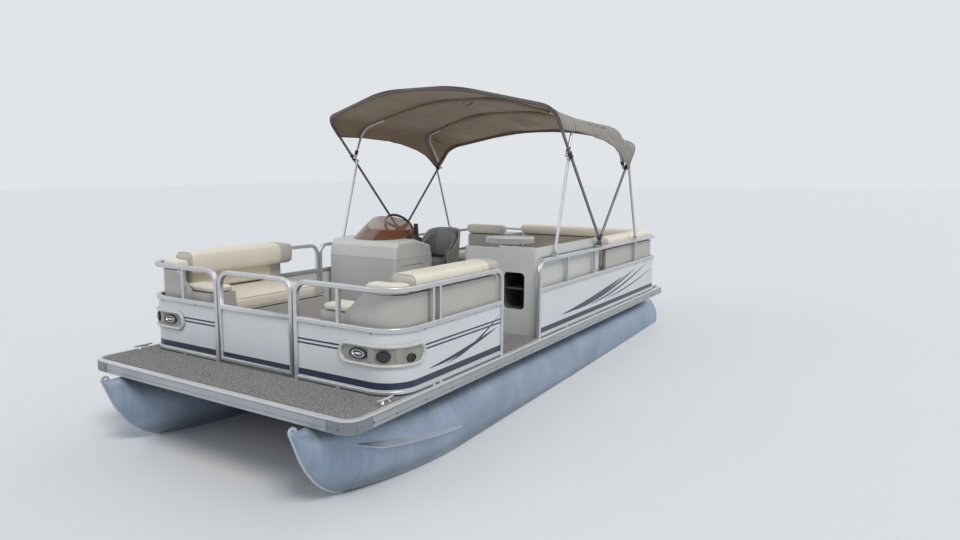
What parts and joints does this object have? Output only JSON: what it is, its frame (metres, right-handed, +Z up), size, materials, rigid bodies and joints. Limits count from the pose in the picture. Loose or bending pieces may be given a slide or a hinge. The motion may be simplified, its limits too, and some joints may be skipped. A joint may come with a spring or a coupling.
{
  "type": "pontoon boat",
  "caption": "Pontoon boat with two welded aluminium tubes, fenced deck, bow and stern seats, helm console, folding sun canopy and a tilting outboard motor.",
  "frame": {"origin": "centre of the whole boat in plan, on the plane of the keel skids", "axes": "+X towards the bow, +Y to port, +Z up"},
  "size_m": [7.0589, 2.482, 2.7662],
  "materials": {
    "tube_aluminium": "dull, brushed along the rolling direction",
    "edge_aluminium": "satin extrusion with a bright lip",
    "rail_aluminium": "satin anodised",
    "deck_wood": "plain plywood",
    "tread_vinyl": "ribbed, matte",
    "deck_carpet": "short loop pile, flecked",
    "panel_paint": "gloss white with navy band and pin stripes",
    "grey_moulding": "fine grained",
    "lamp_lens": "smooth",
    "seat_moulding": "fine grained",
    "cream_vinyl": "soft vinyl, stitched",
    "taupe_vinyl": "soft vinyl, stitched",
    "helm_moulding": "smooth moulded",
    "tinted_acrylic": "bronze tint",
    "black_plastic": "fine grained",
    "countertop": "smooth",
    "table_white": "smooth",
    "canvas_taupe": "woven acrylic canvas",
    "motor_paint": "gloss",
    "propeller_metal": "satin painted"
  },
  "bodies": {
    "hull": {"pontoon_port": "tube_aluminium", "pontoon_starboard": "tube_aluminium", "crossmembers": "tube_aluminium", "motor_pod": "tube_aluminium", "edge_rail": "edge_aluminium", "deck_board": "deck_wood", "carpet": "deck_carpet", "bow_treads": "tread_vinyl", "corner_caps": "grey_moulding", "fence_bow_port": "rail_aluminium", "fence_bow_starboard": "rail_aluminium", "fence_aft_port": "rail_aluminium", "fence_aft_starboard": "rail_aluminium", "panel_bow_port": "panel_paint", "panel_bow_starboard": "panel_paint", "panel_aft_port": "panel_paint", "panel_aft_starboard": "panel_paint", "front_gate_hinges": "rail_aluminium", "light_bezel_port": "grey_moulding", "light_bezel_starboard": "grey_moulding", "docking_lamps": "lamp_lens", "bow_seat_base_port": "seat_moulding", "bow_seat_base_starboard": "seat_moulding", "bow_seat_pad_port": "cream_vinyl", "bow_seat_pad_starboard": "cream_vinyl", "bow_back_pad_port": "cream_vinyl", "bow_back_pad_starboard": "cream_vinyl", "bow_bolster_port": "cream_vinyl", "bow_bolster_starboard": "cream_vinyl", "bow_corner_pads_port": "cream_vinyl", "bow_corner_pads_starboard": "cream_vinyl", "stern_seat_base": "seat_moulding", "stern_seat_pad": "cream_vinyl", "stern_back_pad": "cream_vinyl", "stern_bolster": "cream_vinyl", "console": "helm_moulding", "windscreen": "tinted_acrylic", "throttle": "black_plastic", "chair_pedestal": "rail_aluminium", "galley_cabinet": "helm_moulding", "galley_top": "countertop", "cockpit_table": "table_white", "bimini_mounts": "rail_aluminium", "bimini_rear_bow": "rail_aluminium", "bimini_rear_struts": "rail_aluminium", "bimini_canopy": "canvas_taupe", "outboard_clamp": "motor_paint"},
    "front_gate": {"front_gate_frame": "rail_aluminium", "front_gate_panel": "panel_paint"},
    "console_door": {"console_door": "helm_moulding"},
    "steering_wheel": {"steering_wheel": "black_plastic"},
    "helm_chair": {"chair_shell": "seat_moulding", "chair_cushions": "taupe_vinyl"},
    "canopy_front_bow": {"bimini_front_bow": "rail_aluminium"},
    "canopy_second_bow": {"bimini_second_bow": "rail_aluminium"},
    "canopy_third_bow": {"bimini_third_bow": "rail_aluminium"},
    "canopy_front_struts": {"bimini_front_struts": "rail_aluminium"},
    "motor_swivel": {"outboard_swivel": "motor_paint"},
    "motor": {"outboard_motor": "motor_paint"},
    "propeller": {"propeller": "propeller_metal"}
  },
  "joints": [
    {"name": "front_gate_swing", "type": "hinge", "parent": "hull", "child": "front_gate", "pos_m": [2.97545, -0.3645, 0.99], "axis": [0, 0, 1], "range_deg": [0, 90]},
    {"name": "console_door_swing", "type": "hinge", "parent": "hull", "child": "console_door", "pos_m": [0.99695, -0.3245, 0.97], "axis": [0, 0, -1], "range_deg": [0, 100]},
    {"name": "helm_chair_swivel", "type": "hinge", "parent": "hull", "child": "helm_chair", "pos_m": [0.02945, -0.655, 0.99], "axis": [0, 0, 1], "range_deg": [-90, 90]},
    {"name": "steering", "type": "hinge", "parent": "hull", "child": "steering_wheel", "pos_m": [0.52945, -0.7, 1.474], "axis": [-0.848, 0, 0.5299], "range_deg": [-540, 540]},
    {"name": "canopy_fold", "type": "hinge", "parent": "hull", "child": "canopy_front_bow", "pos_m": [-0.14855, 0, 1.38], "axis": [0, -1, 0], "range_deg": [0, 82], "deforming": ["bimini_canopy"]},
    {"name": "second_bow_fold", "type": "hinge", "parent": "canopy_front_bow", "child": "canopy_second_bow", "pos_m": [0.64145, 0, 2.197], "axis": [0, -1, 0], "range_deg": [-66.1, 0]},
    {"name": "third_bow_fold", "type": "hinge", "parent": "hull", "child": "canopy_third_bow", "pos_m": [-0.87755, 0, 2.124], "axis": [0, -1, 0], "range_deg": [0, 77.5]},
    {"name": "front_strut_fold", "type": "hinge", "parent": "canopy_front_bow", "child": "canopy_front_struts", "pos_m": [0.60947, 0, 2.16393], "axis": [0, -1, 0], "range_deg": [-54.5, 0]},
    {"name": "motor_tilt", "type": "hinge", "parent": "hull", "child": "motor_swivel", "pos_m": [-2.67455, 0, 0.582], "axis": [0, 1, 0], "range_deg": [-62, 0]},
    {"name": "motor_steer", "type": "hinge", "parent": "motor_swivel", "child": "motor", "pos_m": [-2.82388, 0, 0.64984], "axis": [0.8829, 0, 0.4695], "range_deg": [-30, 30]},
    {"name": "propeller_spin", "type": "hinge", "parent": "motor", "child": "propeller", "pos_m": [-3.41626, 0, 0.58176], "axis": [0.4695, 0, -0.8829], "continuous": true}
  ],
  "couplings": [
    {"joint": "steering", "follows": "motor_steer", "ratio": 18},
    {"joint": "second_bow_fold", "follows": "canopy_fold", "ratio": -0.80488},
    {"joint": "third_bow_fold", "follows": "canopy_fold", "ratio": 0.9439},
    {"joint": "front_strut_fold", "follows": "canopy_fold", "ratio": -0.66341}
  ]
}
